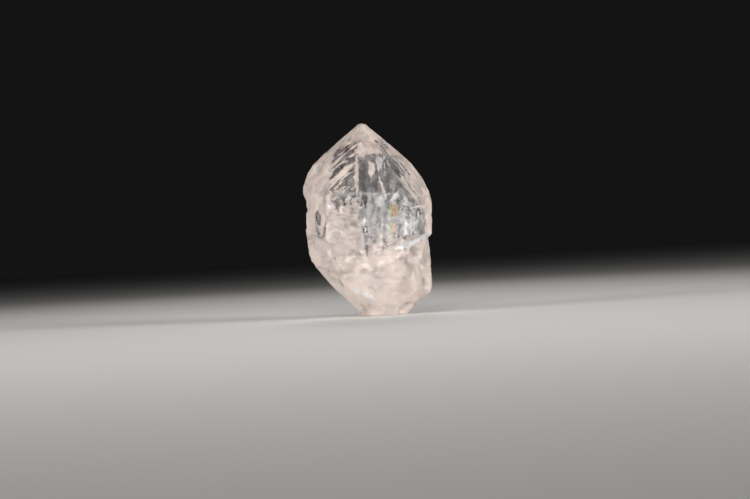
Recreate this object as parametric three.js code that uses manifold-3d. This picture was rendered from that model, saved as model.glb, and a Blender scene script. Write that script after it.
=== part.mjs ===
// A double terminated quartz crystal, grown as one piece. It stands on the small blunt spot where the
// point of its lower end is worn away.
//
// Two crystals in nearly parallel growth make it up. The upper one carries the clear six-sided point.
// The lower one leans a few degrees and is a little narrower where the two meet, which leaves the
// ledge that runs across the front. A third, small one makes the shoulder on the left side.
//
// Millimetres, +Z up. The front of the crystal faces -Y. An azimuth is counted from the front
// towards +X, and an elevation is how far a face's outward normal points above the horizon.

import * as THREE from "three";
import { mergeVertices } from "three/addons/utils/BufferGeometryUtils.js";
import Module from "manifold-3d";

const wasm = await Module();
wasm.setup();

// Driving dimensions. Heights are counted from where the lower point would end if it weren't worn.
const TIP_HEIGHT = 33.1; // where the six upper faces would meet
const TIP_X = -1.1;
const TIP_Y = 1.5;
const WORN_TIP = 0.45; // taken off the upper point by wear
const STANDING_LEAN = 3; // degrees that the crystal leans to the right when it stands
const BLUNT_SPOT = 0.5; // height of the flat that the crystal then rests on
const FRONT = -9.0; // the front prism face
const BACK = 8.1; // the back prism face
const RIGHT = [10.62, -0.5]; // the upright edge on the right, x and y
const LEFT = [-10.36, -2.6]; // the upright edge on the left, x and y
const SHOULDER_HEIGHT = 27.0; // where the point turns steeper, on both sides
const SHOULDER_RIGHT_X = 6.45;
const SHOULDER_LEFT_X = -8.5;
const SHOULDER_Y = 0.9;
const LEFT_CRYSTAL = [-10.97, -0.4]; // the edge of the small left crystal, x and y
const LEDGE_RIGHT = 14.15; // height of the ledge at the right edge
const LEDGE_MIDDLE = 11.6; // and in the middle of the front
const LEDGE_LEFT = 10.25; // and left of the middle, one growth layer lower
const LEDGE_FAR_LEFT = 14.6; // at the left edge, where the two crystals pass into each other
const LOWER_FRONT = -8.66; // front prism face of the lower crystal
const LOWER_LEAN = -7; // degrees that the lower crystal's right side leans over as it rises

const BLOCK = 60; // size of the block that the crystal is cut from, and of the cutters
const GRAIN = 1e-3; // vertices closer than this are one
const WELD = 1e-3; // and in the finished crystal, closer than this

const radians = THREE.MathUtils.degToRad;

// Random numbers that come out the same each time
function seededRandom(seed) {
  let state = seed;
  return () => {
    state = (state * 1664525 + 1013904223) % 4294967296;
    return state / 4294967296;
  };
}

function solidFrom(geometry) {
  const bare = new THREE.BufferGeometry();
  bare.setAttribute("position", geometry.getAttribute("position").clone());
  if (geometry.index) bare.setIndex(geometry.index.clone());
  const merged = mergeVertices(bare, GRAIN);
  return new wasm.Manifold(
    new wasm.Mesh({
      numProp: 3,
      vertProperties: new Float32Array(merged.attributes.position.array),
      triVerts: new Uint32Array(merged.index.array),
    }),
  );
}

function geometryFrom(solid) {
  const mesh = solid.getMesh();
  const geometry = new THREE.BufferGeometry();
  geometry.setAttribute(
    "position",
    new THREE.BufferAttribute(new Float32Array(mesh.vertProperties), 3),
  );
  geometry.setIndex(new THREE.BufferAttribute(new Uint32Array(mesh.triVerts), 1));
  return geometry;
}

// Draws together the corners that cuts leave closer than a few thousandths, and drops the slivers
// between them
function welded(geometry) {
  const merged = mergeVertices(geometry, WELD);
  const corners = Array.from(merged.index.array);
  const kept = [];
  for (let i = 0; i < corners.length; i += 3) {
    const triangle = corners.slice(i, i + 3);
    if (new Set(triangle).size === 3) kept.push(...triangle);
  }
  merged.setIndex(kept);
  return merged;
}

// A crystal face: a plane through a point, with its own axes. u runs level to the right as seen from
// outside, v runs up the face and w points out of it. A lean turns it about the front-to-back axis.
function face(azimuth, elevation, through, lean = 0) {
  const tilt = new THREE.Quaternion().setFromAxisAngle(
    new THREE.Vector3(0, 1, 0),
    radians(lean),
  );
  const level = Math.cos(radians(elevation));
  const w = new THREE.Vector3(
    level * Math.sin(radians(azimuth)),
    -level * Math.cos(radians(azimuth)),
    Math.sin(radians(elevation)),
  ).applyQuaternion(tilt);
  const u = new THREE.Vector3(Math.cos(radians(azimuth)), Math.sin(radians(azimuth)), 0);
  u.addScaledVector(w, -u.dot(w)).normalize();
  const v = new THREE.Vector3().crossVectors(w, u);
  return new THREE.Matrix4().makeBasis(u, v, w).setPosition(...through);
}

// The same face, moved out or in along its own normal
const layerOut = (side, distance) =>
  side.clone().multiply(new THREE.Matrix4().makeTranslation(0, 0, distance));

// All that lies outside a face, as a block to cut away
function outside(side) {
  const block = new THREE.BoxGeometry(2 * BLOCK, 2 * BLOCK, BLOCK);
  return solidFrom(block.translate(0, 0, BLOCK / 2).applyMatrix4(side));
}

function crystalWithin(sides) {
  const rough = new THREE.BoxGeometry(BLOCK, BLOCK, BLOCK + TIP_HEIGHT);
  let crystal = solidFrom(rough.translate(0, 0, TIP_HEIGHT / 2));
  for (const side of sides) crystal = crystal.subtract(outside(side));
  return crystal;
}

const joinAll = (solid, list) => list.reduce((whole, each) => whole.add(each), solid);
const cutAll = (solid, list) => list.reduce((whole, each) => whole.subtract(each), solid);

// The upright faces of the upper crystal
const prism = {
  front: face(0, 0, [0, FRONT, 0]),
  rightFront: face(62, 0, [...RIGHT, 0]),
  rightBack: face(120, 0, [...RIGHT, 0]),
  back: face(180, 0, [0, BACK, 0]),
  leftBack: face(240, 0, [...LEFT, 0]),
  leftFront: face(299, 0, [...LEFT, 0]),
};

// The six faces of the point. Each one misses the common tip by a little, as real faces do.
const tip = (offset) => [TIP_X, TIP_Y, TIP_HEIGHT + offset];
const point = {
  front: face(0, 45.0, tip(0.1)),
  rightFront: face(60, 46.4, tip(0.05)),
  rightBack: face(120, 46.2, tip(0)),
  back: face(180, 42.0, tip(-0.1)),
  leftBack: face(240, 45.6, tip(0.15)),
  leftFront: face(300, 45.4, tip(0)),
};

// Steeper faces below them, which round the shoulders
const shoulderRight = [SHOULDER_RIGHT_X, SHOULDER_Y, SHOULDER_HEIGHT];
const shoulderLeft = [SHOULDER_LEFT_X, SHOULDER_Y, SHOULDER_HEIGHT];
const shoulder = {
  front: face(0, 33, [0, -7.4, 23.2]),
  rightFront: face(60, 33.7, shoulderRight),
  rightBack: face(120, 33.0, shoulderRight),
  rightSteep: face(72, 15.0, [9.75, -0.2, 22.6]),
  rightBackSteep: face(112, 13.0, [9.75, -0.2, 22.6]),
  back: face(180, 27, [0, 6.3, 27.6]),
  leftBack: face(240, 28.4, shoulderLeft),
  leftFront: face(300, 28.0, shoulderLeft),
};

const growthFaces = [
  ...Object.values(prism),
  ...Object.values(point),
  ...Object.values(shoulder),
];

// The upper crystal ends below in the ledge, which rises to the right and steps down left of the
// middle, where one more growth layer covers it
const upperCrystal = crystalWithin([
  ...growthFaces,
  face(64, -59, [...RIGHT, LEDGE_RIGHT]),
  face(38, -70, [5.25, FRONT, 12.05]),
  face(8, -82, [1.5, FRONT, LEDGE_MIDDLE]),
  face(290, -35, [...LEFT, LEDGE_FAR_LEFT]),
]);
const coveringLayer = crystalWithin([
  ...growthFaces.map((side) => layerOut(side, -0.12)),
  face(84, 6, [0.1, FRONT, 11]),
  face(350, -80, [-2.5, FRONT, LEDGE_LEFT]),
  face(0, 40, [0, FRONT, 17]),
  face(290, -35, [...LEFT, LEDGE_FAR_LEFT]),
]);

// The small crystal on the left shoulder shares the upper crystal's faces, one layer further out
const leftCrystal = crystalWithin([
  ...Object.values(point),
  face(300, 0, [...LEFT_CRYSTAL, 22]),
  face(240, 0, [...LEFT_CRYSTAL, 22]),
  layerOut(shoulder.leftFront, 0.1),
  shoulder.leftBack,
  face(352, 2, [-8, -7.1, 21]),
  face(180, 0, [0, 4.4, 20]),
  face(300, -19, [...LEFT_CRYSTAL, 20.9]),
  face(240, -22, [...LEFT_CRYSTAL, 20.9]),
  face(330, -55, [-8.5, -5.6, 19.2]),
  face(90, 0, [-6.6, 0, 20]),
]);

// The lower crystal: upright faces, the six faces of its point, unequal as they grew, and the
// bevels that round its left side
const lowerFaces = {
  front: face(0, 0.5, [0, LOWER_FRONT, 11]),
  rightFront: face(61, 0, [10.0, -0.5, 13.4], LOWER_LEAN),
  rightBack: face(120, 0, [10.0, -0.5, 13.4], LOWER_LEAN),
  back: face(180, 0, [0, 8.7, 11]),
  leftBack: face(238, -6.5, [-10.34, -2.6, 14.2]),
  leftFront: face(300, -6.5, [-10.34, -2.6, 14.2]),
};
const lowerPoint = {
  front: face(2, -37, [0, LOWER_FRONT, 8.0]),
  rightFront: face(57, -43.5, [10.75, -0.4, 4.6]),
  rightBack: face(122, -45.0, [10.75, -0.4, 4.6]),
  back: face(180, -33.0, [0, 8.7, 7.0]),
  leftBack: face(238, -36.5, [-7.7, -2.2, 7.1]),
  leftFront: face(300, -36.5, [-7.7, -2.2, 7.1]),
};
const lowerBevels = [
  face(300, -20, [-9.46, -2.4, 9.6]),
  face(238, -20, [-9.46, -2.4, 9.6]),
  face(304, -45.0, [-4.76, -1.2, 3.6]),
  face(240, -45.0, [-4.76, -1.2, 3.6]),
  face(90, -3, [10.88, -0.5, 7.0]),
  face(80, -24, [10.62, -0.5, 4.8]),
  face(20, -62, [3.4, -4.4, 0.9]),
];
const lowerCrystal = crystalWithin([
  ...Object.values(lowerFaces),
  ...Object.values(lowerPoint),
  ...lowerBevels,
  face(0, 88, [0, 0, 15.2]),
]);

let crystal = upperCrystal.add(coveringLayer).add(leftCrystal).add(lowerCrystal);

// A thin growth layer on a face: a long lozenge with sloping sides
function layer(side, { u, v, length, width, angle, height }) {
  const half = length / 2;
  const outline = new THREE.Shape();
  outline.moveTo(-half, -width * 0.1);
  outline.lineTo(-half * 0.55, -width / 2);
  outline.lineTo(half * 0.7, -width / 2);
  outline.lineTo(half, width * 0.15);
  outline.lineTo(half * 0.5, width / 2);
  outline.lineTo(-half * 0.7, width / 2);
  outline.closePath();
  const slope = Math.min(height * 2, width * 0.35);
  const solid = new THREE.ExtrudeGeometry(outline, {
    depth: height,
    bevelEnabled: true,
    bevelThickness: height,
    bevelSize: slope,
    bevelOffset: -slope,
    bevelSegments: 1,
  });
  solid.translate(0, 0, -height);
  return solidFrom(solid.rotateZ(radians(angle)).translate(u, v, 0).applyMatrix4(side));
}

// A splinter that tapers to both ends. It is a ridge where it is joined to the crystal, and a
// groove or a pit where it is cut from it.
function splinter(side, { u, v, length, width, angle, height }) {
  const solid = new THREE.OctahedronGeometry(1, 0).scale(length / 2, width / 2, height);
  return solidFrom(solid.rotateZ(radians(angle)).translate(u, v, 0).applyMatrix4(side));
}

// A row of them that lie nearly parallel on one face
function row(make, side, seed, count, area, size) {
  const random = seededRandom(seed);
  const between = ([low, high]) => low + (high - low) * random();
  const made = [];
  for (let i = 0; i < count; i++) {
    const share = (i + 0.2 + 0.6 * random()) / count;
    made.push(
      make(side, {
        u: area.u[0] + (area.u[1] - area.u[0]) * share,
        v: between(area.v),
        length: between(size.length),
        width: between(size.width),
        angle: between(size.angle),
        height: between(size.height),
      }),
    );
  }
  return made;
}

// A shell-shaped chip: the hollow that a blow leaves at an edge
function chip(x, y, z, radius, flat, azimuth = 0) {
  const bowl = new THREE.SphereGeometry(radius, 18, 12);
  bowl.scale(1, flat, 1).rotateZ(radians(azimuth)).translate(x, y, z);
  return solidFrom(bowl);
}

// The same, fanned out below the tip: turn is the way each one points, away from straight down the
// face, and reach is how far down from the tip its middle lies
function fan(make, side, seed, count, area, size) {
  const random = seededRandom(seed);
  const between = ([low, high]) => low + (high - low) * random();
  const made = [];
  for (let i = 0; i < count; i++) {
    const share = (i + 0.2 + 0.6 * random()) / count;
    const turn = area.turn[0] + (area.turn[1] - area.turn[0]) * share;
    const reach = between(area.reach);
    made.push(
      make(side, {
        u: reach * Math.sin(radians(turn)),
        v: -reach * Math.cos(radians(turn)),
        length: between(size.length),
        width: between(size.width),
        angle: 90 + turn,
        height: between(size.height),
      }),
    );
  }
  return made;
}

// Growth ridges: fanned on the point, and nearly upright on the steeper faces below it
const ridge = { width: [0.5, 1.1], height: [0.1, 0.22], length: [3.6, 6.0] };
const lowRidge = { width: [0.5, 1.2], height: [0.08, 0.18], length: [2.6, 4.4], angle: [82, 98] };
const step = { width: [0.9, 1.8], height: [0.06, 0.12], angle: [-6, 8] };
crystal = joinAll(crystal, [
  ...fan(splinter, point.front, 11, 6, { turn: [-17, 17], reach: [5.4, 7.2] }, ridge),
  ...fan(splinter, point.leftFront, 23, 6, { turn: [-14, 17], reach: [5.2, 7.2] }, ridge),
  ...fan(splinter, point.rightFront, 37, 6, { turn: [-17, 14], reach: [5.2, 7.2] }, ridge),
  ...fan(splinter, point.back, 41, 5, { turn: [-17, 17], reach: [5.0, 6.8] }, ridge),
  ...fan(splinter, point.leftBack, 43, 4, { turn: [-14, 14], reach: [4.8, 6.4] }, ridge),
  ...fan(splinter, point.rightBack, 47, 4, { turn: [-14, 14], reach: [4.8, 6.4] }, ridge),
  ...row(splinter, shoulder.front, 83, 6, { u: [-5.2, 5.6], v: [-0.4, 0.9] }, lowRidge),
  ...row(splinter, shoulder.rightFront, 101, 4, { u: [-5.4, -1.0], v: [-1.6, -0.4] }, lowRidge),
  ...row(splinter, shoulder.back, 97, 4, { u: [-4.6, 4.6], v: [-3.6, -2.4] }, lowRidge),
  // Level growth steps on the upright faces
  ...row(layer, prism.front, 53, 3, { u: [-3.4, 4.8], v: [13.4, 18.4] },
    { ...step, length: [3.2, 5.6] }),
  ...row(layer, prism.rightFront, 59, 2, { u: [-6.0, -3.0], v: [15.6, 19.0] },
    { ...step, length: [2.4, 3.4] }),
  ...row(layer, prism.back, 61, 4, { u: [-3.0, 3.0], v: [13.4, 19.0] },
    { ...step, length: [3.4, 6.0] }),
  ...row(layer, prism.leftBack, 67, 2, { u: [-6.4, -2.8], v: [15.6, 18.6] },
    { ...step, length: [2.4, 3.8] }),
]);

const groove = { width: [0.4, 0.8], height: [0.16, 0.3], length: [3.0, 5.6] };
crystal = cutAll(crystal, [
  // Grooves between the growth ridges
  ...fan(splinter, point.front, 71, 5, { turn: [-19, 19], reach: [7.6, 11.0] }, groove),
  ...fan(splinter, point.rightFront, 73, 4, { turn: [-19, 15], reach: [6.4, 8.8] }, groove),
  ...fan(splinter, point.leftFront, 79, 4, { turn: [-15, 19], reach: [6.4, 8.8] }, groove),
  // The long groove below them, the deep pit on the left and the crack that leaves it
  splinter(prism.front, { u: -0.2, v: 15.2, length: 8.8, width: 0.9, angle: 91, height: 0.3 }),
  splinter(prism.leftFront, { u: 4.6, v: 17.2, length: 2.6, width: 1.2, angle: 96, height: 0.7 }),
  splinter(prism.leftFront, { u: 5.4, v: 15.2, length: 3.4, width: 0.3, angle: 118, height: 0.2 }),
  splinter(prism.leftFront, { u: 1.1, v: 18.6, length: 3.0, width: 0.9, angle: 28, height: 0.45 }),
  // Chips along the edges and round the lower end
  chip(3.6, 1.2, 30.1, 0.8, 1, 20),
  chip(5.4, 1.2, 28.6, 0.65, 1, 0),
  chip(-10.82, -2.6, 18.1, 0.75, 1.5, 0),
  chip(11.04, -0.5, 17.4, 0.6, 1.4, 0),
  chip(7.2, -8.9, 15.8, 0.75, 0.8, 30),
  chip(-10.66, -2.6, 15.3, 0.5, 1.3, 0),
  chip(9.9, -4.4, 2.2, 1.5, 0.8, 50),
  chip(-5.4, -5.9, 2.6, 1.3, 0.8, -30),
  chip(0.9, 9.0, 2.4, 2.2, 0.9, 0),
  chip(6.0, 8.8, 12.6, 1.3, 0.8, 10),
]);

// The ridge across the lower front, and low growth hills beside it
crystal = joinAll(crystal, [
  splinter(lowerPoint.front,
    { u: -1.1, v: -4.4, length: 6.0, width: 1.3, angle: -29, height: 0.34 }),
  splinter(lowerPoint.front,
    { u: 3.2, v: -3.0, length: 4.4, width: 1.6, angle: 16, height: 0.2 }),
  splinter(lowerPoint.front,
    { u: -2.4, v: -1.4, length: 4.4, width: 1.4, angle: -12, height: 0.18 }),
  layer(lowerFaces.front,
    { u: 3.0, v: -1.3, length: 4.6, width: 1.5, angle: 5, height: 0.1 }),
]);

crystal = crystal.subtract(outside(face(0, 90, [0, 0, TIP_HEIGHT - WORN_TIP])));

// The crystal stands with a slight lean, and its blunt spot is level
const standing = new THREE.Matrix4().makeRotationY(radians(STANDING_LEAN));
crystal = solidFrom(geometryFrom(crystal).applyMatrix4(standing));
crystal = crystal.subtract(outside(face(0, -90, [0, 0, BLUNT_SPOT])));

const geometry = welded(geometryFrom(crystal));
geometry.computeBoundingBox();
const box = geometry.boundingBox;
geometry.translate(-(box.min.x + box.max.x) / 2, -(box.min.y + box.max.y) / 2, -box.min.z);

const quartz = new THREE.MeshStandardMaterial({
  color: 0xd8cdc5,
  roughness: 0.25,
  metalness: 0,
  transparent: true,
  opacity: 0.55,
});

const quartzCrystal = new THREE.Mesh(geometry, quartz);
quartzCrystal.name = "quartz_crystal";

const part = new THREE.Group();
part.add(quartzCrystal);
export default part;
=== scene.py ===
# %% [markdown]
# # A double terminated quartz crystal
# The real thing is one piece of rock crystal about 32 mm tall. It has a sharp point above, a blunt
# one below, a growth ledge across its front, frosted outer faces and clear windows in the middle.
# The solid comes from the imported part, and this script gives it its worn edges, its skin and what
# can be seen inside it.

import math
import random

import bpy
import numpy as np
from mathutils import Euler, Matrix, Vector, noise
from mathutils.bvhtree import BVHTree


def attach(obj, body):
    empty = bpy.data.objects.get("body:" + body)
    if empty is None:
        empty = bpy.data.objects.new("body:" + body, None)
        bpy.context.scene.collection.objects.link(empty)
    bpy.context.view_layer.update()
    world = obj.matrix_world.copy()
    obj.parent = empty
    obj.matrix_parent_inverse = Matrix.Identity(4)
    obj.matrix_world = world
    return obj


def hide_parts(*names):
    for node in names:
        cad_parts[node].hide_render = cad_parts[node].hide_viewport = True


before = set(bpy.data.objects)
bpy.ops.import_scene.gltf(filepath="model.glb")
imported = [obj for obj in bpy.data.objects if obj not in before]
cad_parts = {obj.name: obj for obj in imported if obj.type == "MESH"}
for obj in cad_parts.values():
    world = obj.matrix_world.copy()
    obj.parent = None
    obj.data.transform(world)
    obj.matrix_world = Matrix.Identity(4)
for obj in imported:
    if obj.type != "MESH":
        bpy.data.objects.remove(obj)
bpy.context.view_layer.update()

# %% [markdown]
# The crystal leans three degrees to the right where it stands, so that its weight is over its small
# flat. Places on its front are easiest to give along its own axes: x to the right and z up, as seen
# by somebody who looks at the front. One matrix takes such a place to the frame, and all places
# are in millimetres until that last step.

# %% The crystal's own axes
MM = 0.001
LEAN = math.radians(3.0)
AXES_SHIFT = Vector((-0.88, 0.0, -0.5))
to_frame = (
    Matrix.Scale(MM, 4)
    @ Matrix.Translation(AXES_SHIFT)
    @ Matrix.Rotation(LEAN, 4, "Y")
)
to_crystal = to_frame.inverted()
TIP = Vector((-1.1, 1.5, 33.1))
print("tip in the frame, mm:", [round(v / MM, 2) for v in to_frame @ TIP])

# %% [markdown]
# The skin starts as a copy of the solid. Its loose triangles are merged first, a voxel remesh then
# gives it an even net of small faces, and a shrinkwrap pulls that net back on the flat faces. What
# stays between two faces is a chamfer as narrow as one voxel, like the worn edge of the real one.

# %% Copy the solid and give it an even net
VOXEL = 0.165  # width of a face of the net: finer, and the skin has over 200,000 triangles
WELD = 0.002  # points closer than this are one


def only(obj):
    """Make obj the one selected and active object."""
    bpy.ops.object.select_all(action="DESELECT")
    obj.select_set(True)
    bpy.context.view_layer.objects.active = obj


def new_object(name, data):
    obj = bpy.data.objects.new(name, data)
    bpy.context.collection.objects.link(obj)
    return obj


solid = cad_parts["quartz_crystal"]
guide_mesh = solid.data.copy()
guide_mesh.transform(solid.matrix_world)
guide = new_object("guide", guide_mesh)
only(guide)
bpy.ops.object.mode_set(mode="EDIT")
bpy.ops.mesh.select_all(action="SELECT")
bpy.ops.mesh.remove_doubles(threshold=WELD * MM)
bpy.ops.mesh.normals_make_consistent(inside=False)
bpy.ops.object.mode_set(mode="OBJECT")

skin = new_object("quartz_skin", guide_mesh.copy())
only(skin)
net = skin.modifiers.new("net", "REMESH")
net.mode = "VOXEL"
net.voxel_size = VOXEL * MM
bpy.ops.object.modifier_apply(modifier="net")
wrap = skin.modifiers.new("wrap", "SHRINKWRAP")
wrap.target = guide
wrap.wrap_method = "NEAREST_SURFACEPOINT"
bpy.ops.object.modifier_apply(modifier="wrap")
print("skin faces:", len(skin.data.polygons))

# %% [markdown]
# The shrinkwrap leaves small teeth along the edges, because each point goes to one side or the
# other. A smoothing modifier would blur the flat faces too, so here only the sharp edges are
# selected, and their points are smoothed.

# %% Wear the edges
WEAR_ANGLE = math.radians(14)
WEAR_TIMES = 3
SMOOTHING = 0.5  # how far one pass takes a point towards its neighbours

only(skin)
bpy.ops.object.mode_set(mode="EDIT")
bpy.ops.mesh.select_mode(type="EDGE")
bpy.ops.mesh.select_all(action="DESELECT")
bpy.ops.mesh.edges_select_sharp(sharpness=WEAR_ANGLE)
bpy.ops.mesh.vertices_smooth(factor=SMOOTHING, repeat=WEAR_TIMES)
bpy.ops.object.mode_set(mode="OBJECT")
bpy.ops.object.shade_smooth()
print("points of worn edges:", sum(v.select for v in skin.data.vertices))

# %% [markdown]
# The real front has no crisp edge below its point, the left half of its ledge is worn, and the
# lower end is rounded like a pebble. There the net is smoothed many times over, which takes a few
# tenths of a millimetre off each edge. The right half of the ledge and the tip stay crisp.

# %% Round the front shoulder and the lower end
def select_places(obj, chosen):
    """In edit mode, select the points where chosen is true."""
    bpy.ops.object.mode_set(mode="EDIT")
    bpy.ops.mesh.select_mode(type="VERT")
    bpy.ops.mesh.select_all(action="DESELECT")
    bpy.ops.object.mode_set(mode="OBJECT")
    obj.data.vertices.foreach_set("select", chosen)
    bpy.ops.object.mode_set(mode="EDIT")


def read_points(mesh, what):
    """The co or the normal of every point, as rows of x, y and z."""
    data = np.empty(len(mesh.vertices) * 3, dtype=np.float32)
    mesh.vertices.foreach_get(what, data)
    return data.reshape(-1, 3).astype(np.float64)


def in_crystal_axes(points):
    """The same points along the crystal's own axes, in millimetres."""
    return np.array([to_crystal @ Vector(p) for p in points])


only(skin)
x, y, z = in_crystal_axes(read_points(skin.data, "co")).T
front_shoulder = (z > 18.6) & (z < 27.5) & (y < -4.5) & (x > -7.5) & (x < 8.0)
left_ledge = (z > 9.0) & (z < 11.8) & (y < -6.0) & (x < 1.5)
lower_end = (z > 1.2) & (z < 9.4)
for chosen, times in [(front_shoulder, 33), (left_ledge, 33), (lower_end, 75)]:
    select_places(skin, chosen)
    bpy.ops.mesh.vertices_smooth(factor=SMOOTHING, repeat=times)
    bpy.ops.object.mode_set(mode="OBJECT")
print("rounded points:", int((front_shoulder | left_ledge | lower_end).sum()))

# %% [markdown]
# Quartz grows in low hills and streaks. On the point they fan out from the tip, so their place is
# the direction round the crystal's long axis, and on the upright faces they are level. The rim of
# the blunt spot is chipped. Each point of the net sinks by up to a quarter of a millimetre and none
# moves outwards, so the size stays true.

# %% Growth relief
def smooth01(value, low, high):
    """0 below low, 1 above high and a soft step between them."""
    t = np.clip((value - low) / (high - low), 0, 1)
    return t * t * (3 - 2 * t)


def noise_at(points, seed, octaves=3):
    """Fractal noise from 0 to 1 at each row of points."""
    shift = Vector((seed, seed * 1.7, -seed * 0.6))
    out = [noise.fractal(Vector(p) + shift, 1.0, 2.0, octaves) for p in points]
    return np.clip(np.array(out) * 0.5 + 0.5, 0, 1)


def fan(points):
    """Places stretched along the lines that run down from the tip."""
    away = points - np.array(TIP)
    level = np.linalg.norm(away[:, :2], axis=1, keepdims=True) + 0.3
    return np.hstack([away[:, :2] / level * 4.2, away[:, 2:] * 0.10])


places = read_points(skin.data, "co")
normals = read_points(skin.data, "normal")
here = in_crystal_axes(places)
x, y, z = here.T
on_point = smooth01(z, 17, 22)
streaks = noise_at(fan(here), 3.0)
level_steps = noise_at(here * [0.25, 0.25, 0.9], 8.0)
hills = noise_at(here * 0.45, 21.0, 2)
sink = (
    0.26 * on_point * np.abs(streaks - 0.5)
    + 0.10 * (1 - on_point) * np.abs(level_steps - 0.5)
    + 0.08 * np.abs(hills - 0.5)
)
rim = smooth01(z, 0.3, 0.9) * (1 - smooth01(z, 1.6, 3.4))
sink = sink + 0.2 * rim * smooth01(noise_at(here * 0.8, 205.0, 2), 0.45, 0.75)
above_flat = smooth01(places[:, 2], 0.05 * MM, 0.8 * MM)
moved = places - normals * (sink * above_flat * MM)[:, None]
skin.data.vertices.foreach_set("co", moved.astype(np.float32).ravel())
skin.data.update()
print("deepest relief in mm:", round(float(sink.max()), 3))

# %% [markdown]
# The finish differs from place to place: the sides are frosted and the lower end is milky, while
# the middle of the front has clear windows between streaks. Four numbers say it for each point of
# the net: frost, milk, how cool its white is, and painted dark. Painted dark is painted shade: how
# much a clear part darkens what shows through it, so that it looks as dark as the dark behind. They
# are worked out from a few shapes, whose borders noise breaks up, and kept as attributes for the
# material to read. So a mark can be put just where it is seen, with no picture.

# %% Shapes to paint with
def wandering(amount, scale):
    """The two places in the front view, moved a little by noise."""
    aside = noise_at(here * scale, 31.0) - 0.5
    up = noise_at(here * scale, 57.0) - 0.5
    return x + 2 * amount * aside, z + 2 * amount * up


wx, wz = wandering(0.5, 0.9)
facing = smooth01(-y, -1.0, 2.5)


def region(corners, soft=0.6):
    """1 inside a convex outline given clockwise, fading to 0 over the distance soft."""
    depth = np.full(len(wx), 1e9)
    for (ax, az), (bx, bz) in zip(corners, corners[1:] + corners[:1]):
        length = math.hypot(bx - ax, bz - az)
        side = ((wx - ax) * (bz - az) - (wz - az) * (bx - ax)) / length
        depth = np.minimum(depth, side)
    return smooth01(depth, -soft, soft) * facing


def stroke(ax, az, bx, bz, width, soft=0.5):
    """1 along a line that tapers to both ends."""
    length = math.hypot(bx - ax, bz - az)
    along = ((wx - ax) * (bx - ax) + (wz - az) * (bz - az)) / length
    across = np.abs((wx - ax) * (bz - az) - (wz - az) * (bx - ax)) / length
    share = np.clip(along / length, 0, 1)
    past = np.maximum(np.abs(along - length / 2) - length / 2, 0)
    reach = width / 2 * (0.35 + 0.65 * np.sin(np.pi * share))
    off = np.hypot(across, past)
    return (1 - smooth01(off, reach * (1 - soft), reach * (1 + soft))) * facing


def spot(cx, cz, rx, rz, soft=0.35):
    """1 inside an upright ellipse."""
    off = np.hypot((wx - cx) / rx, (wz - cz) / rz)
    return (1 - smooth01(off, 1 - soft, 1 + soft)) * facing


def stripes(angle, seed, fine=2.2, long=0.28):
    """Noise drawn out along a direction in the front view, in degrees from level."""
    c, s = math.cos(math.radians(angle)), math.sin(math.radians(angle))
    along = x * c + z * s
    across = -x * s + z * c
    return noise_at(np.stack([across * fine, along * long, y * 0.2], axis=1), seed, 4)


# %% [markdown]
# Broad zones come first: the clear middle, the streak fields of the point, the veiled window on
# the right above the ledge, the fields beside and below the windows, and the milky lower end.

# %% Outlines of the zones
clear_zone = region(
    [(-2.0, 26.9), (1.0, 27.3), (3.2, 27.0), (6.6, 21.6), (9.3, 17.0), (9.3, 13.6), (4.9, 11.9),
     (-0.2, 10.4), (-1.3, 18.5), (-2.0, 18.6)]
)
left_streaks = region([(-5.9, 28.2), (-2.0, 29.7), (-1.9, 20.6), (-6.6, 20.2), (-6.2, 24.6)])
middle_streaks = region([(0.9, 27.0), (3.1, 27.2), (3.8, 25.2), (2.6, 24.2), (1.0, 24.0)])
right_streaks = region([(1.6, 30.2), (2.4, 30.0), (8.8, 19.6), (6.8, 18.6), (3.2, 25.6)])
veiled = region([(3.0, 20.6), (6.4, 20.6), (9.4, 16.6), (9.4, 13.9), (4.6, 11.9), (3.0, 13.0)])
left_field = region([(-6.7, 18.4), (-1.6, 18.0), (-1.0, 10.4), (-6.0, 10.0)])
middle_field = region([(-1.6, 20.8), (3.4, 20.8), (3.6, 11.6), (-0.6, 10.6)])
mixed_field = region([(-6.2, 21.6), (-1.9, 21.6), (-1.7, 19.0), (-3.0, 18.0), (-6.2, 18.0)])
low = 1 - smooth01(z + 0.8 * (noise_at(here * 0.6, 5.0) - 0.5), 9.6, 12.2)
print("share of the net in the lower end:", round(float(low.mean()), 2))

# %% [markdown]
# Each zone has a level of frost and of milk, and a noise that varies it: blotches, specks, clumps or
# stripes along the way its streaks run. A zone is laid over what is there already.

# %% Frost and milk of the zones
def lay(value, amount, target):
    """Blend target over value by amount."""
    return value + (target - value) * amount


def white_streaks(noise_values, threshold):
    return smooth01(noise_values, threshold - 0.04, threshold + 0.12)


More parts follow.
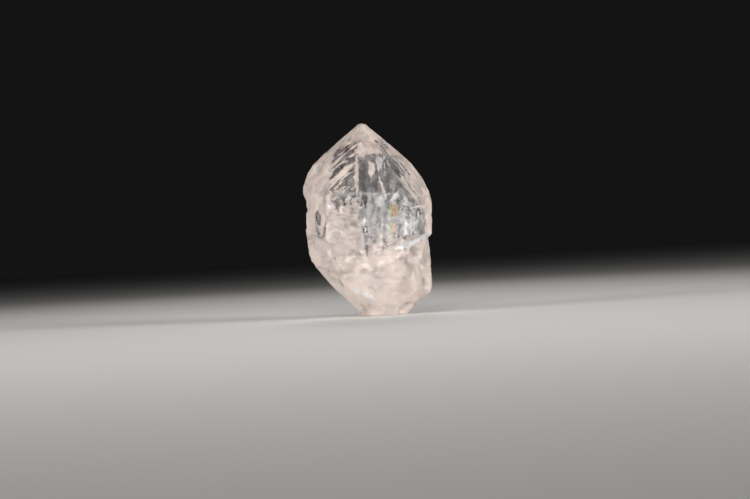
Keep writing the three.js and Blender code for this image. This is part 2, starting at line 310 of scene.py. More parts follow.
mottle = noise_at(here * 0.9, 71.0, 4)
speckle = noise_at(here * 2.4, 83.0, 3)
wisps = noise_at(here * [0.35, 0.35, 0.22], 191.0, 4)
slant_left = white_streaks(stripes(40, 101.0, fine=3.0), 0.48)
upright = white_streaks(stripes(88, 107.0, fine=2.2, long=0.25), 0.46)
slant_right = white_streaks(stripes(-56, 113.0, fine=2.6), 0.42)
veil = smooth01(0.6 * mottle + 0.4 * speckle, 0.32, 0.70)
clumps = smooth01(noise_at(here * 1.1, 275.0, 2), 0.34, 0.66)
half = smooth01(stripes(86, 131.0, fine=1.3, long=0.25), 0.34, 0.66)
high = smooth01(z, 15.5, 19.5)
sinking = 1 - smooth01(z, 13.0, 17.5)
ZONES = [
    # zone, its frost, its milk
    (clear_zone, 0.22, 0.10),
    (0.9 * left_streaks, 0.2 + 0.6 * slant_left, 0.06 + 0.56 * slant_left),
    (0.9 * middle_streaks, 0.2 + 0.6 * upright, 0.06 + 0.56 * upright),
    (0.9 * right_streaks, 0.2 + 0.6 * slant_right, 0.06 + 0.56 * slant_right),
    (veiled, 0.5 + 0.3 * veil - 0.16 * high, 0.26 + 0.38 * veil - 0.1 * high),
    (left_field, 0.55 + 0.3 * speckle, 0.005 + 0.35 * speckle + 0.5 * mottle),
    (mixed_field, 0.32 + 0.3 * clumps, 0.10 + 0.34 * clumps),
    (middle_field, 0.5 + 0.3 * half - 0.26 * high, 0.10 + 0.30 * half + 0.32 * sinking),
]
frost = 0.64 + 0.4 * mottle
milk = 0.025 + 0.35 * mottle + 0.8 * wisps + 0.06 * low
for zone, zone_frost, zone_milk in ZONES:
    frost = lay(frost, zone, zone_frost)
    milk = lay(milk, zone, zone_milk)
cool = (0.7 * veiled + 0.6 * middle_field) * smooth01(z, 12.0, 16.0) + 0.4 * middle_streaks
cool = np.clip(cool, 0, 1)
print("mean frost", round(float(frost.mean()), 2), "mean milk", round(float(milk.mean()), 2))

# %% [markdown]
# The sides and the back aren't seen in the photo. They get the same mix: frost on the whole, with
# clear windows where the growth was smooth, drawn out along the streaks on the point.

# %% Sides and back
behind = smooth01(y, 0.5, 3.0)
near_tip = smooth01(z, 28.6, 30.4)
back_lines = smooth01(noise_at(fan(here) * 1.6, 151.0, 4), 0.36, 0.62)
back_patches = smooth01(noise_at(here * [0.30, 0.30, 0.11], 163.0, 4), 0.36, 0.60)
uneven = 7 * (noise_at(here * 0.3, 173.0) - 0.5)
back_window = smooth01(y, 4.0, 6.5) * smooth01(6.0 - np.abs(x - 1.0) + uneven, -1.6, 1.6)
back_window = back_window * smooth01(z + uneven, 10.5, 13.0)
back_window = back_window * (1 - smooth01(z - uneven, 21.0, 24.5))
back_clear = behind * (1 - low) * (1 - near_tip)
back_clear = back_clear * np.maximum(back_patches * (1 - on_point * back_lines), 0.9 * back_window)
frost = lay(frost, back_clear, 0.14)
milk = lay(milk, back_clear, 0.05)
cool = np.maximum(cool, 0.5 * smooth01(y, 2.5, 6.0))
print("share of the back that is clear:", round(float((back_clear > 0.5)[y > 3].mean()), 2))

# %% [markdown]
# Then come the marks that stand out one by one, with borders that wander less. A dark mark is clear
# quartz whose tint carries painted shade, standing for the dark that shows through it. The deep ones
# are the clearest and darkest, and those below the windows are only half clear.

# %% Dark marks
wx, wz = wandering(0.16, 1.7)
DEEP = [
    region(
        [(-1.45, 25.6), (-0.5, 25.8), (-0.2, 24.6), (-0.3, 22.0), (-0.8, 20.8), (-1.4, 21.4)],
        0.14,
    ),
    stroke(3.4, 26.4, 5.2, 23.5, 1.1),
    stroke(-6.3, 23.1, -3.9, 25.7, 0.8),
    stroke(-5.5, 27.7, -5.2, 26.5, 0.5),
    stroke(2.0, 29.9, 4.4, 28.0, 1.1),
    stroke(-3.9, 26.1, -2.9, 26.7, 0.4),
    spot(-2.4, 26.3, 0.3, 0.3),
    0.9 * stroke(-8.4, 17.9, -8.0, 15.6, 1.05, 0.7),
    0.5 * stroke(-8.8, 16.2, -7.8, 13.2, 0.5),
    0.5 * stroke(-6.9, 16.1, -7.4, 13.2, 0.5),
    0.55 * region([(-1.0, 15.3), (-0.1, 15.3), (0.0, 14.2), (-0.8, 14.0)], 0.3),
    0.2 * stroke(-0.5, 14.6, -0.15, 10.4, 0.8, 0.7),
    0.7 * region([(-3.4, 20.9), (-2.0, 21.7), (-1.9, 20.1), (-2.7, 19.9)], 0.2),
    0.7 * stroke(-0.6, 22.0, -0.45, 18.2, 0.6),
]
DARK = [
    region([(0.0, 23.5), (1.2, 24.1), (1.75, 23.3), (2.4, 20.8), (2.0, 20.4), (0.6, 20.5)], 0.3),
    region([(2.1, 24.2), (3.0, 24.9), (4.6, 23.6), (5.3, 22.3), (4.5, 20.6), (3.0, 20.5)], 0.3),
    region([(-4.9, 21.9), (-4.0, 22.7), (-2.5, 23.4), (-2.1, 22.2), (-2.4, 21.7)], 0.14),
    stroke(-4.9, 25.7, -2.4, 28.0, 0.4),
    spot(-5.4, 20.4, 0.6, 0.5),
    spot(-3.8, 20.2, 0.5, 0.4),
    stroke(0.9, 29.9, 1.9, 28.9, 0.25),
    stroke(5.6, 21.7, 7.6, 19.0, 0.35),
    stroke(5.0, 26.4, 6.9, 23.8, 0.3),
]
LOW_DARK = [
    stroke(-1.75, 16.1, -0.5, 19.4, 0.5),
    0.75 * stroke(-0.7, 18.4, -0.2, 10.6, 1.0, 0.8),
    stroke(2.4, 13.4, 2.9, 12.1, 0.4),
    0.5 * spot(-2.9, 11.3, 0.35, 0.6),
    region([(7.7, 14.6), (8.4, 16.4), (9.3, 15.4), (9.2, 14.0)], 0.35),
    stroke(4.9, 15.2, 4.9, 13.2, 0.5),
]
print("dark marks:", len(DEEP) + len(DARK) + len(LOW_DARK))

# %% [markdown]
# A bright mark is a crack or a rough spot that throws the light back, or a painted highlight. Grey
# ones are thin haze, and the grey line under the lip of the ledge is painted shadow. Film is the
# place kept clear over the rainbow film, and glints are painted highlights, the brightest and
# coolest.

# %% Bright marks
GREY_HAZE_AND_SHADOW = [
    region([(-0.1, 26.9), (1.2, 27.0), (1.1, 26.0), (-0.1, 25.9)], 0.3),
    spot(7.5, 11.3, 0.8, 0.9),
    spot(6.9, 8.6, 0.7, 0.9),
    spot(0.6, 17.6, 1.4, 1.0),
    # Painted shadow: a grey line just under the lip of the ledge.
    stroke(4.6, 11.4, 10.0, 13.6, 0.35, 0.3),
]
FILM = [
    region([(3.2, 18.4), (3.9, 19.3), (4.6, 19.1), (5.05, 17.9), (4.7, 16.7), (3.6, 16.6)], 0.4),
    0.6 * stroke(3.9, 16.3, 4.1, 13.5, 1.3, 0.6),
]
WHITE = [
    region([(-1.75, 29.2), (-0.9, 29.0), (-0.7, 26.9), (-1.75, 26.8)], 0.15),
    region([(-0.05, 25.9), (0.95, 26.0), (1.1, 24.0), (0.25, 23.4), (-0.05, 24.2)], 0.2),
    region([(-1.2, 15.8), (-0.6, 16.7), (-0.2, 16.4), (-0.7, 15.2)], 0.2),
    0.8 * stroke(-1.95, 27.2, -1.85, 20.4, 0.6, 0.6),
    stroke(1.7, 23.5, 3.0, 19.6, 0.45),
    stroke(-5.6, 22.8, -2.6, 25.6, 0.9),
    0.55 * spot(1.8, 19.4, 1.0, 1.0, 0.6),
    stroke(3.6, 19.2, 5.0, 21.2, 0.45),
    spot(-6.2, 18.8, 0.35, 0.5),
    spot(4.8, 5.2, 0.35, 0.3),
    0.7 * stroke(4.8, 11.8, -0.4, 10.0, 0.3),
    stroke(3.4, 10.1, 5.3, 10.5, 0.3),
    0.8 * stroke(-5.2, 10.4, -1.9, 9.9, 0.3),
    0.7 * stroke(2.6, 9.6, 3.4, 7.4, 0.3),
]
# Painted highlights: the bright lip of the ledge, the ridge on the lower end and its flecks,
# sparkles, thin glints on the left edge and the star of cracks near the ledge.
PAINTED_HIGHLIGHTS = [
    stroke(4.5, 11.65, 8.8, 13.35, 0.7, 0.3),
    stroke(7.0, 12.6, 10.5, 14.2, 0.45, 0.4),
    0.5 * stroke(-2.7, 5.3, 1.4, 3.3, 0.8, 0.7),
    spot(-1.5, 4.7, 0.45, 0.25),
    spot(0.2, 3.9, 0.4, 0.25),
    spot(1.2, 5.4, 0.25, 0.2),
    spot(1.6, 8.0, 0.3, 0.2),
    spot(0.1, 21.3, 0.3, 0.4),
    spot(-6.3, 24.4, 0.3, 0.2),
    spot(-6.2, 18.8, 0.3, 0.4),
    spot(-4.2, 20.9, 0.3, 0.2),
    stroke(-9.0, 24.3, -7.3, 26.2, 0.22),
    stroke(-8.0, 21.6, -7.5, 22.8, 0.2),
    stroke(5.8, 14.3, 7.9, 16.3, 0.5),
    stroke(5.9, 16.0, 7.9, 14.3, 0.5),
    stroke(6.9, 16.7, 7.1, 13.7, 0.42),
]
print("bright marks:", len(GREY_HAZE_AND_SHADOW) + len(FILM) + len(WHITE) + len(PAINTED_HIGHLIGHTS))

# %% [markdown]
# Small scratches lie all over the front, most of them along the directions of growth. They are drawn
# at random from a seed, so they come out the same each time.

# %% Scratches
SCRATCHES = 60
pick = random.Random(41)
for _ in range(SCRATCHES):
    px, pz = pick.uniform(-8.0, 9.5), pick.uniform(2.0, 19.0)
    turn = pick.choice([4, 38, 88, -54]) + pick.gauss(0, 9)
    reach = pick.uniform(0.25, 1.0)
    dx, dz = reach * math.cos(math.radians(turn)), reach * math.sin(math.radians(turn))
    scratch = stroke(px - dx, pz - dz, px + dx, pz + dz, pick.uniform(0.2, 0.34))
    milk = lay(milk, scratch, pick.choice([0.3, 0.95, 0.95]))
    frost = lay(frost, scratch, 0.95)
print("scratches:", SCRATCHES)

# %% [markdown]
# The windows lie above the edge where the steep front faces meet the upright one. Down to there
# clear quartz gets a painted dark tint, which is painted shade for the dark seen through it. Below,
# the painted dark thins out in upright drips, and a little frost and milk hide the edge, as veils do
# in the real one.

# %% Lay the marks on
for mark in GREY_HAZE_AND_SHADOW:
    milk = lay(milk, mark, 0.36)
upper = smooth01(z + 1.6 * (noise_at(here * [1.1, 1.1, 0.5], 261.0) - 0.5), 20.0, 20.9)
# Painted shade: the dark tint of the clear windows above the edge.
painted_dark = (0.84 - 0.16 * right_streaks) * upper * facing
hanging = stripes(86, 241.0, fine=2.4, long=0.35)
faint = smooth01(hanging, 0.48, 0.66) * upper
for mark in DARK:
    frost = lay(frost, mark, 0.2 + 0.25 * faint)
    milk = lay(milk, mark, 0.26 - 0.21 * upper + 0.22 * faint)
for mark in LOW_DARK:
    frost = lay(frost, mark, 0.48)
    milk = lay(milk, mark, 0.28)
    painted_dark = np.maximum(painted_dark, 0.45 * mark)
# Painted shade on the mixed field, between its clumps.
painted_dark = np.maximum(painted_dark, 0.9 * mixed_field * (1 - clumps))
drip = smooth01(z, 15.5, 20.8) * (1 - 0.75 * smooth01(hanging, 0.40, 0.62))
painted_dark = np.maximum(painted_dark, 0.62 * drip * np.maximum(middle_field, veiled))
milk = np.maximum(milk, 0.20 * facing * (1 - upper) * (1 - 0.8 * drip))
frost = np.maximum(frost, 0.4 * facing * (1 - upper) * (1 - 0.4 * drip))
edge_band = facing * smooth01(z, 19.4, 20.2) * (1 - smooth01(z, 20.8, 21.2))
frost = np.maximum(frost, (0.55 - 0.2 * drip) * edge_band)
for mark in DEEP:
    frost = lay(frost, mark, 0.14)
    milk = lay(milk, mark, 0.12 - 0.1 * upper)
    painted_dark = np.maximum(painted_dark, mark)
for mark in WHITE:
    frost = lay(frost, mark, 0.8)
    milk = lay(milk, mark, 0.68)
for mark in FILM:
    frost = lay(frost, mark, 0.4)
    milk = lay(milk, mark, 0.16)
    painted_dark = lay(painted_dark, mark, 0.0)
# The painted highlights are made milky and cool white.
for mark in PAINTED_HIGHLIGHTS:
    frost = lay(frost, mark, 0.4)
    milk = lay(milk, mark, 1.0)
    cool = lay(cool, mark, 1.0)
print("mean frost", round(float(frost.mean()), 2), "mean milk", round(float(milk.mean()), 2))

# %% [markdown]
# The numbers are stored on the points of the skin. Frost, milk and coolness are the three channels
# of one colour attribute. The painted dark, which is painted shade made uneven by a last noise, is
# an attribute of its own.

# %% Store the finish
haze = 0.95 + 1.3 * (noise_at(here * [0.9, 0.9, 0.3], 221.0) - 0.5)

painted = np.clip(np.stack([frost, milk, cool, np.ones_like(frost)], axis=1), 0, 1)
finish = skin.data.color_attributes.new("finish", "FLOAT_COLOR", "POINT")
finish.data.foreach_set("color", painted.astype(np.float32).ravel())
painted_dark_attribute = skin.data.attributes.new("painted_dark", "FLOAT", "POINT")
painted_dark_attribute.data.foreach_set("value", np.clip(painted_dark * haze, 0, 1).astype(np.float32))
print("attributes:", [name for name in ("finish", "painted_dark") if name in skin.data.attributes])

# %% [markdown]
# A few helpers keep the node trees short to write: a new material without nodes, a new node with
# its values, one sum, one range mapped to another, and a mix of two colours.

# %% Helpers for materials
def blank_material(name):
    """A new material and its empty node tree."""
    material = bpy.data.materials.new(name)
    material.use_nodes = True
    tree = material.node_tree
    tree.nodes.clear()
    return material, tree


def add(tree, kind, **values):
    """A node whose inputs are given as in_Name and whose settings are given by name."""
    node = tree.nodes.new(kind)
    for key, value in values.items():
        if key.startswith("in_"):
            node.inputs[key[3:].replace("_", " ")].default_value = value
        else:
            setattr(node, key, value)
    return node


def maths(tree, operation, a, b):
    """One sum of two values, each a number or the output of another node."""
    node = add(tree, "ShaderNodeMath", operation=operation)
    for i, value in enumerate([a, b]):
        if isinstance(value, (int, float)):
            node.inputs[i].default_value = value
        else:
            tree.links.new(value, node.inputs[i])
    return node.outputs[0]


def spread(tree, value, low, high, out_low, out_high):
    """Map a value smoothly from one range to another."""
    node = add(tree, "ShaderNodeMapRange", interpolation_type="SMOOTHSTEP")
    tree.links.new(value, node.inputs["Value"])
    for name, number in zip(
        ["From Min", "From Max", "To Min", "To Max"], [low, high, out_low, out_high]
    ):
        node.inputs[name].default_value = number
    return node.outputs["Result"]


def blend(tree, factor, a, b):
    """From colour a to colour b as factor goes from 0 to 1."""
    node = add(tree, "ShaderNodeMix", data_type="RGBA")
    tree.links.new(factor, node.inputs["Factor"])
    for name, value in [("A", a), ("B", b)]:
        if isinstance(value, tuple):
            node.inputs[name].default_value = value
        else:
            tree.links.new(value, node.inputs[name])
    return node.outputs["Result"]


# %% [markdown]
# One material does it all. Clear quartz is plain transmission at the index of quartz. Frost is
# roughness and a fine bump, and milk is less transmission and more light scattered at the skin.
# The painted dark tints the light that goes through. It is painted shade, so that a clear part over
# a bright inside still looks as dark as the dark seen through it.

# %% Quartz
QUARTZ_IOR = 1.544
CLEAR = (0.72, 0.72, 0.74, 1)
# Tint of the painted dark: painted shade for the dark seen through clear parts.
PAINTED_DARK_TINT = (0.13, 0.12, 0.125, 1)
WARM_WHITE = (0.88, 0.76, 0.69, 1)
# The cool white of the veiled parts, and also of the painted highlights.
COOL_WHITE = (0.88, 0.90, 0.93, 1)

quartz, tree = blank_material("quartz")
out = add(tree, "ShaderNodeOutputMaterial")
glass = add(tree, "ShaderNodeBsdfPrincipled")
tree.links.new(glass.outputs[0], out.inputs["Surface"])
glass.inputs["IOR"].default_value = QUARTZ_IOR
glass.inputs["Subsurface Weight"].default_value = 0.7
glass.inputs["Subsurface Radius"].default_value = (1.0, 0.85, 0.78)
glass.inputs["Subsurface Scale"].default_value = 1.4 * MM
place = add(tree, "ShaderNodeTexCoord").outputs["Object"]
attribute = add(tree, "ShaderNodeAttribute", attribute_name="finish")
channels = add(tree, "ShaderNodeSeparateColor")
tree.links.new(attribute.outputs["Color"], channels.inputs[0])
frosted, milky, coolness = channels.outputs


def texture(scale, detail, stretch=(1, 1, 1)):
    """Noise on object coordinates, drawn out where stretch is small."""
    mapping = add(tree, "ShaderNodeMapping", vector_type="POINT", in_Scale=stretch)
    tree.links.new(place, mapping.inputs["Vector"])
    node = add(tree, "ShaderNodeTexNoise", in_Scale=scale, in_Detail=detail, in_Roughness=0.6)
    tree.links.new(mapping.outputs[0], node.inputs["Vector"])
    return node.outputs[0]


grain = texture(3200.0, 3.0)
etching = texture(1100.0, 4.0)
striae = texture(260.0, 3.0, (1, 1, 9))  # level lines

# Where frost thins out it breaks up into specks
specks = spread(tree, etching, 0.3, 0.7, -0.12, 0.12)
frosted = spread(tree, maths(tree, "ADD", frosted, specks), 0.1, 0.9, 0.0, 1.0)
milky = maths(tree, "MULTIPLY", milky, spread(tree, etching, 0.3, 0.7, 0.7, 1.2))

rough = spread(tree, frosted, 0.0, 1.0, 0.08, 0.5)
tree.links.new(rough, glass.inputs["Roughness"])
through = add(tree, "ShaderNodeMapRange")
tree.links.new(milky, through.inputs["Value"])
through.inputs["To Min"].default_value = 1.0
through.inputs["To Max"].default_value = 0.08
tree.links.new(through.outputs[0], glass.inputs["Transmission Weight"])
whites = blend(tree, coolness, WARM_WHITE, COOL_WHITE)
painted_dark_factor = add(tree, "ShaderNodeAttribute", attribute_name="painted_dark").outputs["Fac"]
clear = blend(tree, painted_dark_factor, CLEAR, PAINTED_DARK_TINT)
tree.links.new(blend(tree, frosted, clear, whites), glass.inputs["Base Color"])
print("nodes in quartz so far:", len(tree.nodes))

# %% [markdown]
# The bump adds three noises: grain and etching, which are nearly flat where the quartz is clear, and
# the level lines, which show everywhere. The inside absorbs a little, slightly less red than blue.

# %% Bump and inside of the quartz
bump = add(tree, "ShaderNodeBump", in_Strength=0.5, in_Distance=0.05 * MM)
fine = maths(tree, "MULTIPLY", grain, spread(tree, frosted, 0.1, 0.9, 0.02, 0.45))
coarse = maths(tree, "MULTIPLY", etching, spread(tree, frosted, 0.1, 0.9, 0.08, 0.7))
level = maths(tree, "MULTIPLY", striae, spread(tree, frosted, 0.1, 0.9, 0.25, 1.0))
relief = maths(tree, "ADD", maths(tree, "ADD", fine, coarse), level)
tree.links.new(relief, bump.inputs["Height"])
tree.links.new(bump.outputs[0], glass.inputs["Normal"])

absorb = add(tree, "ShaderNodeVolumeAbsorption", in_Color=(1.0, 0.96, 0.94, 1), in_Density=10.0)
tree.links.new(absorb.outputs[0], out.inputs["Volume"])

skin.data.materials.clear()
skin.data.materials.append(quartz)
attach(skin, "root")
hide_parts("quartz_crystal")
print("quartz on", skin.name)

# %% [markdown]
# Inside the crystal there are veils, which are healed cracks full of tiny bubbles, and a few fresh
# cracks that glint. Each one is a thin closed sheet. Its place is given by where it shows on the
# front and how deep it lies, so the line of sight is followed to the skin, bent there as quartz
# bends light, and followed on to that depth.

# %% Find a place behind the front
guide_tree = BVHTree.FromObject(guide, bpy.context.evaluated_depsgraph_get())
sight = (to_frame.to_3x3() @ Vector((0, 1, 0))).normalized()


def seen_at(px, pz, depth):
    """The place that shows at px, pz of the front view, depth millimetres behind the skin."""
    start = to_frame @ Vector((px, -60, pz))
    hit, normal, _, _ = guide_tree.ray_cast(start, sight)
    if normal.dot(sight) > 0:
        normal = -normal
    ratio = 1 / QUARTZ_IOR
    cosine = -normal.dot(sight)
    bent = ratio * sight + (ratio * cosine - math.sqrt(1 - ratio**2 * (1 - cosine**2))) * normal
    return hit + bent.normalized() * depth * MM


print("deep place, mm:", [round(v / MM, 2) for v in seen_at(4.0, 24.0, 3.0)])

# %% [markdown]
# A sheet starts as a filled circle. Its corners are moved at random, it is cut finer, its points
# are moved again so that it isn't flat, and an extrude gives it its thickness. Then its mesh is
# stretched, turned and set behind the front. Finished sheets of one kind are joined to one piece.

# %% Make a thin sheet
SHEET_THICKNESS = 0.02


def sheet(px, pz, depth, size, turn, tilt, seed, corners=11, rough=0.16):
    """turn is its direction in the front view, tilt how far it faces away from the front."""
    bpy.ops.object.select_all(action="DESELECT")
    bpy.ops.mesh.primitive_circle_add(
        vertices=corners, radius=0.5 * MM, fill_type="NGON", location=(0, 0, 0)
    )
    obj = bpy.context.object
    bpy.ops.object.mode_set(mode="EDIT")
    bpy.ops.mesh.select_all(action="SELECT")
    bpy.ops.transform.vertex_random(offset=rough * MM, seed=seed)
    bpy.ops.mesh.poke()
    bpy.ops.mesh.subdivide(number_cuts=2)
    bpy.ops.transform.vertex_random(offset=rough * 0.2 * MM, seed=seed + 1)
    bpy.ops.mesh.extrude_region_move(TRANSFORM_OT_translate={"value": (0, 0, SHEET_THICKNESS * MM)})
    bpy.ops.mesh.select_all(action="SELECT")
    bpy.ops.mesh.normals_make_consistent(inside=False)
    bpy.ops.object.mode_set(mode="OBJECT")
    facing_turn = Matrix.Rotation(math.radians(90 + tilt[0]), 4, "X")
    side_turn = Matrix.Rotation(math.radians(tilt[1]), 4, "Z")
    in_view = Matrix.Rotation(-math.radians(turn), 4, "Y")
    shape = Matrix.Diagonal((size[0], size[1], 1, 1))
    obj.data.transform(
        Matrix.Translation(seen_at(px, pz, depth)) @ side_turn @ in_view @ facing_turn @ shape
    )
    return obj


def joined(name, sheets, material):
    """One piece made of all the sheets."""
    bpy.ops.object.select_all(action="DESELECT")
    for obj in sheets:
        obj.select_set(True)
    bpy.context.view_layer.objects.active = sheets[0]
    bpy.ops.object.join()
    piece = bpy.context.object
    piece.name = name
    piece.data.materials.append(material)
    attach(piece, "root")
    print(name, len(piece.data.polygons), "faces")
    return piece


# %% [markdown]
# A veil is a mist of bubbles, so its material is white and lets light past between its specks. The
# cracks are plain air gaps, brighter and smoother. The rainbow film is so thin that it shows
# colours. Here they run across it from green through yellow to orange, blurred by a soft noise.

# %% Finishes of the sheets
def film_material(name, white, opaque, roughness, scale, threshold):
    """A white film with see-through gaps where a noise lies below threshold."""
    material, tree = blank_material(name)
    out = add(tree, "ShaderNodeOutputMaterial")
    film = add(tree, "ShaderNodeBsdfPrincipled", in_Roughness=roughness)
    film.inputs["Base Color"].default_value = white
    tree.links.new(film.outputs[0], out.inputs["Surface"])
    place = add(tree, "ShaderNodeTexCoord").outputs["Object"]
    gaps = add(tree, "ShaderNodeTexNoise", in_Scale=scale, in_Detail=3.0, in_Roughness=0.6)
    tree.links.new(place, gaps.inputs["Vector"])
    cover = spread(tree, gaps.outputs[0], threshold - 0.08, threshold + 0.1, 0.0, opaque)
    tree.links.new(cover, film.inputs["Alpha"])
    return material, tree, film


veil_finish = film_material("veil", (0.84, 0.88, 0.92, 1), 0.75, 0.5, 700.0, 0.5)[0]
crack_finish = film_material("crack", (0.96, 0.97, 1.0, 1), 1.0, 0.15, 900.0, 0.35)[0]
rainbow_finish, tree, film = film_material(
    "rainbow_film", (1, 1, 1, 1), 0.95, 0.3, 500.0, 0.38
)
bands = add(tree, "ShaderNodeValToRGB")
stops = bands.color_ramp.elements
stops[0].position, stops[0].color = 0.0, (0.50, 0.78, 0.50, 1)
stops[1].position, stops[1].color = 1.0, (1.0, 0.92, 0.60, 1)
for where, colour in [(0.28, (0.92, 0.86, 0.36, 1)), (0.55, (1.0, 0.48, 0.24, 1))]:
    stops.new(where).color = colour
place = add(tree, "ShaderNodeTexCoord").outputs["Object"]
wash = add(tree, "ShaderNodeTexNoise", in_Scale=900.0, in_Detail=2.0)
tree.links.new(place, wash.inputs["Vector"])
aside = add(tree, "ShaderNodeSeparateXYZ")
tree.links.new(place, aside.inputs[0])
across = spread(tree, aside.outputs[0], 3.0 * MM, 5.3 * MM, -0.25, 0.75)
blurred = maths(tree, "ADD", across, maths(tree, "MULTIPLY", wash.outputs[0], 0.5))
tree.links.new(blurred, bands.inputs[0])
tree.links.new(bands.outputs[0], film.inputs["Base Color"])
print("film finishes made")

# %% [markdown]
# The veils fill the clear window above the ledge on the right, hang behind the streaks of the
# point, and a few lie in the milky end. They are at different depths, so they shift against each
# other when the view turns.

# %% Veils
VEILS = [
    # px, pz, depth, (length, width), turn, (tip back, turn aside)
    (5.2, 18.8, 2.0, (3.4, 2.2), -40, (10, 20)),
    (7.4, 16.6, 1.6, (3.0, 1.9), -55, (-15, -20)),
    (6.4, 13.7, 2.2, (3.4, 1.3), 18, (20, 0)),
    (4.2, 15.6, 3.0, (1.7, 3.2), 5, (0, 30)),
    (8.2, 14.8, 2.6, (2.2, 2.4), 30, (0, -30)),
    (1.8, 19.6, 1.2, (1.7, 1.5), 20, (10, 0)),
    (1.4, 16.0, 2.6, (1.4, 4.6), -6, (0, 25)),
    (-3.6, 20.4, 2.2, (3.2, 1.8), 15, (15, 0)),
    (-4.0, 25.4, 1.4, (4.6, 0.9), 42, (-20, 0)),
    (-3.2, 24.0, 2.4, (3.2, 0.8), 40, (10, 0)),
    (0.3, 24.8, 1.2, (0.8, 2.2), 0, (0, 15)),
    (4.4, 25.2, 1.5, (3.4, 0.7), -56, (0, 20)),
    (5.8, 23.4, 2.0, (3.0, 0.6), -54, (0, -20)),
    (2.2, 27.4, 1.4, (2.6, 0.8), -62, (0, 0)),
    (-2.0, 13.4, 3.2, (4.2, 3.0), 10, (0, 10)),
    (2.4, 8.4, 3.4, (5.0, 2.6), -15, (25, 0)),
    (-3.4, 6.4, 3.0, (4.0, 2.0), 30, (25, 0)),
]
veils = [
    sheet(px, pz, depth, size, turn, tilt, seed=10 + 3 * i)
    for i, (px, pz, depth, size, turn, tilt) in enumerate(VEILS)
]
joined("inner_veils", veils, veil_finish)

# %% [markdown]
# The fresh cracks are narrow splinters: a star of them near the ledge, the glint in the middle, the
# long bright bar beside it and a few more along the streaks. The rainbow film is two sheets, one
# below the other, just behind the front.

# %% Cracks and rainbow film
CRACKS = [
    (6.9, 14.9, 0.9, (2.0, 0.35), 35, (10, 0)),
    (7.0, 14.8, 1.0, (1.9, 0.3), -32, (0, 15)),
    (6.9, 14.9, 0.8, (0.35, 2.1), 8, (0, -10)),
    (6.3, 15.4, 1.2, (1.2, 0.3), 70, (0, 0)),
    (0.05, 21.2, 0.5, (0.5, 0.55), 10, (25, 10)),
    (0.3, 22.3, 0.7, (0.6, 0.3), 20, (20, -10)),
    (2.5, 21.6, 0.7, (0.34, 2.4), 22, (10, 20)),
    (3.9, 20.0, 0.7, (2.2, 0.35), 50, (0, 15)),
    (-0.7, 16.2, 0.6, (1.2, 0.5), 60, (10, 0)),
    (-6.1, 18.8, 0.5, (0.5, 0.7), 0, (15, -20)),
    (-6.3, 24.4, 0.5, (0.6, 0.3), 30, (0, -20)),
    (4.4, 10.3, 0.7, (1.3, 0.2), 12, (20, 0)),
]
cracks = [
    sheet(px, pz, depth, size, turn, tilt, seed=200 + 3 * i, corners=9)
    for i, (px, pz, depth, size, turn, tilt) in enumerate(CRACKS)
]
joined("bright_cracks", cracks, crack_finish)
rainbow = [
    sheet(4.1, 17.9, 0.45, (1.9, 2.8), -12, (0, 10), seed=301),
    sheet(3.95, 14.9, 0.6, (1.3, 2.8), -8, (0, 15), seed=311),
]
joined("rainbow_film", rainbow, rainbow_finish)

# %% [markdown]
# The stage is a plain pale floor. The lights reach only the part of it round the crystal, so the
# floor fades into the dark behind, and the crystal stands against the dark as in the photo. It is a
# real object rather than a backdrop, so that it also shows through the quartz.

# %% Floor
FLOOR_SIZE = 4000
bpy.ops.object.select_all(action="DESELECT")
bpy.ops.mesh.primitive_plane_add(size=FLOOR_SIZE * MM, location=(0, 0, 0))
floor = bpy.context.object
floor.name = "floor"
paper, tree = blank_material("pale_paper")
out = add(tree, "ShaderNodeOutputMaterial")
matt = add(tree, "ShaderNodeBsdfPrincipled", in_Roughness=0.8)
matt.inputs["Base Color"].default_value = (0.80, 0.79, 0.78, 1)
tree.links.new(matt.outputs[0], out.inputs["Surface"])
floor.data.materials.append(paper)
print("floor", [round(v / MM) for v in floor.dimensions])

# %% [markdown]
# Soft studio light: a large softbox above the camera and a little to the left, one on each side,
# the right one the strongest, and a faint one high up behind. None stands where a front face would
# mirror it to the camera. Each beam is narrow, so that little light falls on the floor far behind.

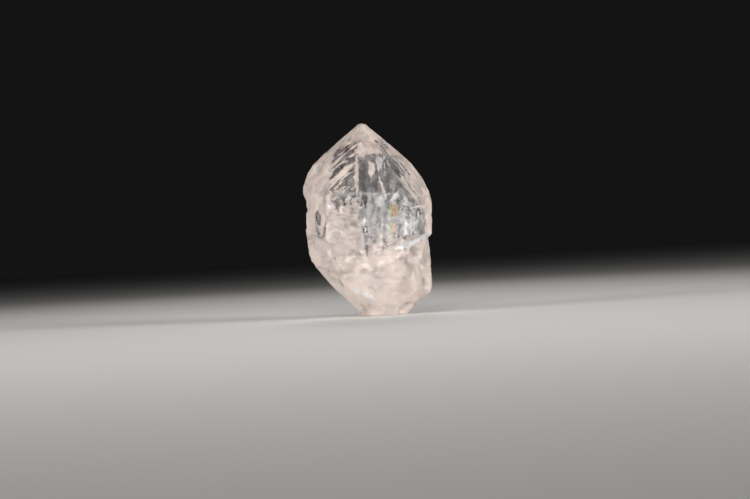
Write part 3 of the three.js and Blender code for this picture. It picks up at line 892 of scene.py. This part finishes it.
# %% Lights and room
BEAM = math.radians(70)
DAYLIGHT = (1.0, 0.985, 0.97)
ROOM_GREY = (0.007, 0.007, 0.007, 1)


def softbox(name, place, size, power):
    """An area light at place that looks at the middle of the crystal, sizes in millimetres."""
    light = bpy.data.lights.new(name, "AREA")
    light.shape = "RECTANGLE"
    light.size, light.size_y = size[0] * MM, size[1] * MM
    light.energy = power
    light.color = DAYLIGHT
    light.spread = BEAM
    obj = new_object(name, light)
    obj.location = Vector(place) * MM
    toward = (Vector((0, 0, 12)) - Vector(place)).normalized()
    obj.rotation_euler = toward.to_track_quat("-Z", "Y").to_euler()
    return obj


softbox("key_softbox", (-70, -370, 210), (320, 240), 0.19)
softbox("left_softbox", (-340, -210, 100), (200, 200), 0.165)
softbox("right_softbox", (340, -210, 100), (200, 200), 0.235)
softbox("back_softbox", (0, 330, 240), (160, 160), 0.045)

room = bpy.data.worlds.new("room")
room.use_nodes = True
room.node_tree.nodes["Background"].inputs["Color"].default_value = ROOM_GREY
bpy.context.scene.world = room

# %% [markdown]
# The camera looks level at the front of the crystal from far away, and rolls by the same three
# degrees, so the crystal is as straight in the picture as it is in the photo. Light crosses many
# faces inside quartz before it comes out, so it is followed further than usual.

# %% Camera
PICTURE_MIDDLE = Vector((1.083, 0.0, 11.583))  # along the crystal's own axes
FIELD = 125.0  # width of the picture at the crystal
camera_data = bpy.data.cameras.new("camera")
camera_data.lens = 90
camera_data.sensor_width = 36
camera_data.clip_start = 1 * MM
distance = FIELD * camera_data.lens / camera_data.sensor_width
camera = new_object("camera", camera_data)
camera.location = to_frame @ (PICTURE_MIDDLE + Vector((0, -distance, 0)))
camera.rotation_euler = (
    Matrix.Rotation(LEAN, 3, "Y") @ Euler((math.radians(90), 0, 0)).to_matrix()
).to_euler()
scene = bpy.context.scene
scene.camera = camera
scene.view_settings.view_transform = "Standard"
scene.cycles.max_bounces = 24
scene.cycles.transmission_bounces = 20
scene.cycles.transparent_max_bounces = 24
print("camera at", [round(v / MM) for v in camera.location])

# %% [markdown]
# The guide has done its work and goes.

# %% Finish
bpy.data.objects.remove(guide)
